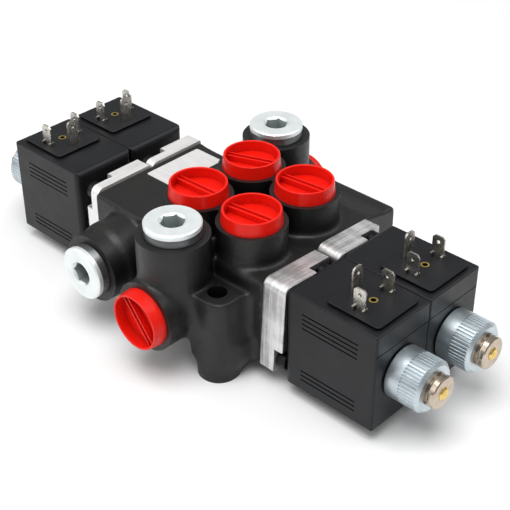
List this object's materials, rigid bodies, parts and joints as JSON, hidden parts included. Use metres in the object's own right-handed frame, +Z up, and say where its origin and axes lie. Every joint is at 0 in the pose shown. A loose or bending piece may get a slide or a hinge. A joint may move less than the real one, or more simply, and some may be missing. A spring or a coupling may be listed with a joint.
{
  "type": "solenoid directional valve",
  "caption": "Two-spool monoblock hydraulic directional valve with a solenoid at each end of each spool, capped ports, plugs and mounting lugs.",
  "frame": {"origin": "on the base plane, midway between the two spools and midway between the coil pairs", "axes": "+X along the spools towards the end with the milled flanges, +Y across the spools towards the tank port, +Z up out of the work ports"},
  "size_m": [0.2796, 0.1466, 0.0725],
  "materials": {
    "body_paint": "satin black paint over cast iron",
    "zinc_steel": "bright zinc plate, turned",
    "zinc_nut": "pale zinc plate, knurled",
    "bonded_seal": "black steel ring with a rubber lip, glossy",
    "black_screw": "black oxide",
    "rubber": "matt",
    "copper": "enamelled copper wire",
    "soft_iron": "plain",
    "hard_steel": "ground",
    "spring_steel": "drawn wire",
    "brass": "turned",
    "label": "satin foil",
    "cap_plastic": "moulded polyethylene",
    "aluminium": "milled and brushed",
    "aluminium_pale": "milled, pale",
    "tube_steel": "turned, nickel tone",
    "coil_plastic": "glass-filled nylon",
    "tinned_blade": "tinned"
  },
  "bodies": {
    "valve_block": {"centring_spring_left_1": "spring_steel", "centring_spring_left_2": "spring_steel", "centring_spring_right_1": "spring_steel", "centring_spring_right_2": "spring_steel", "coil_housing_left_1": "coil_plastic", "coil_housing_left_2": "coil_plastic", "coil_housing_right_1": "coil_plastic", "coil_housing_right_2": "coil_plastic", "coil_nut_left_1": "zinc_nut", "coil_nut_left_2": "zinc_nut", "coil_nut_right_1": "zinc_nut", "coil_nut_right_2": "zinc_nut", "coil_nut_seals": "rubber", "coil_terminals_left_1": "tinned_blade", "coil_terminals_left_2": "tinned_blade", "coil_terminals_right_1": "tinned_blade", "coil_terminals_right_2": "tinned_blade", "coil_windings": "copper", "coil_yokes": "soft_iron", "flange_screws": "black_screw", "flange_seals": "rubber", "label_plate": "label", "plug_seals": "bonded_seal", "port_cap_a1": "cap_plastic", "port_cap_a2": "cap_plastic", "port_cap_b1": "cap_plastic", "port_cap_b2": "cap_plastic", "port_cap_pressure": "cap_plastic", "port_cap_tank": "cap_plastic", "relief_adjuster": "zinc_steel", "relief_cartridge": "zinc_steel", "relief_lock_nut": "zinc_steel", "relief_spring": "spring_steel", "solenoid_flange_left_1": "aluminium_pale", "solenoid_flange_left_2": "aluminium_pale", "solenoid_flange_right_1": "aluminium", "solenoid_flange_right_2": "aluminium", "solenoid_tube_left_1": "tube_steel", "solenoid_tube_left_2": "tube_steel", "solenoid_tube_right_1": "tube_steel", "solenoid_tube_right_2": "tube_steel", "steel_plugs": "zinc_steel", "terminal_inserts": "brass", "valve_body": "body_paint"},
    "spool_set_1": {"spool_1": "hard_steel", "push_pins_1": "hard_steel", "spring_seats_1": "hard_steel", "armature_right_1": "soft_iron", "armature_left_1": "soft_iron"},
    "spool_set_2": {"spool_2": "hard_steel", "push_pins_2": "hard_steel", "spring_seats_2": "hard_steel", "armature_right_2": "soft_iron", "armature_left_2": "soft_iron"},
    "override_right_1": {"override_pin_right_1": "brass"},
    "override_right_2": {"override_pin_right_2": "brass"},
    "override_left_1": {"override_pin_left_1": "brass"},
    "override_left_2": {"override_pin_left_2": "brass"},
    "relief_valve": {"relief_poppet": "hard_steel"}
  },
  "joints": [
    {"name": "spool_1_slide", "type": "slide", "parent": "valve_block", "child": "spool_set_1", "axis": [1, 0, 0], "range_m": [-0.0035, 0.0035], "stiffness_N_per_m": 8000, "deforming": ["centring_spring_right_1", "centring_spring_left_1"]},
    {"name": "spool_2_slide", "type": "slide", "parent": "valve_block", "child": "spool_set_2", "axis": [1, 0, 0], "range_m": [-0.0035, 0.0035], "stiffness_N_per_m": 8000, "deforming": ["centring_spring_right_2", "centring_spring_left_2"]},
    {"name": "override_right_1_press", "type": "slide", "parent": "valve_block", "child": "override_right_1", "axis": [-1, 0, 0], "range_m": [0, 0.0025], "stiffness_N_per_m": 500},
    {"name": "override_right_2_press", "type": "slide", "parent": "valve_block", "child": "override_right_2", "axis": [-1, 0, 0], "range_m": [0, 0.0025], "stiffness_N_per_m": 500},
    {"name": "override_left_1_press", "type": "slide", "parent": "valve_block", "child": "override_left_1", "axis": [1, 0, 0], "range_m": [0, 0.0025], "stiffness_N_per_m": 500},
    {"name": "override_left_2_press", "type": "slide", "parent": "valve_block", "child": "override_left_2", "axis": [1, 0, 0], "range_m": [0, 0.0025], "stiffness_N_per_m": 500},
    {"name": "relief_poppet_lift", "type": "slide", "parent": "valve_block", "child": "relief_valve", "axis": [0, 1, 0], "range_m": [0, 0.0008], "stiffness_N_per_m": 10000, "deforming": ["relief_spring"]}
  ]
}
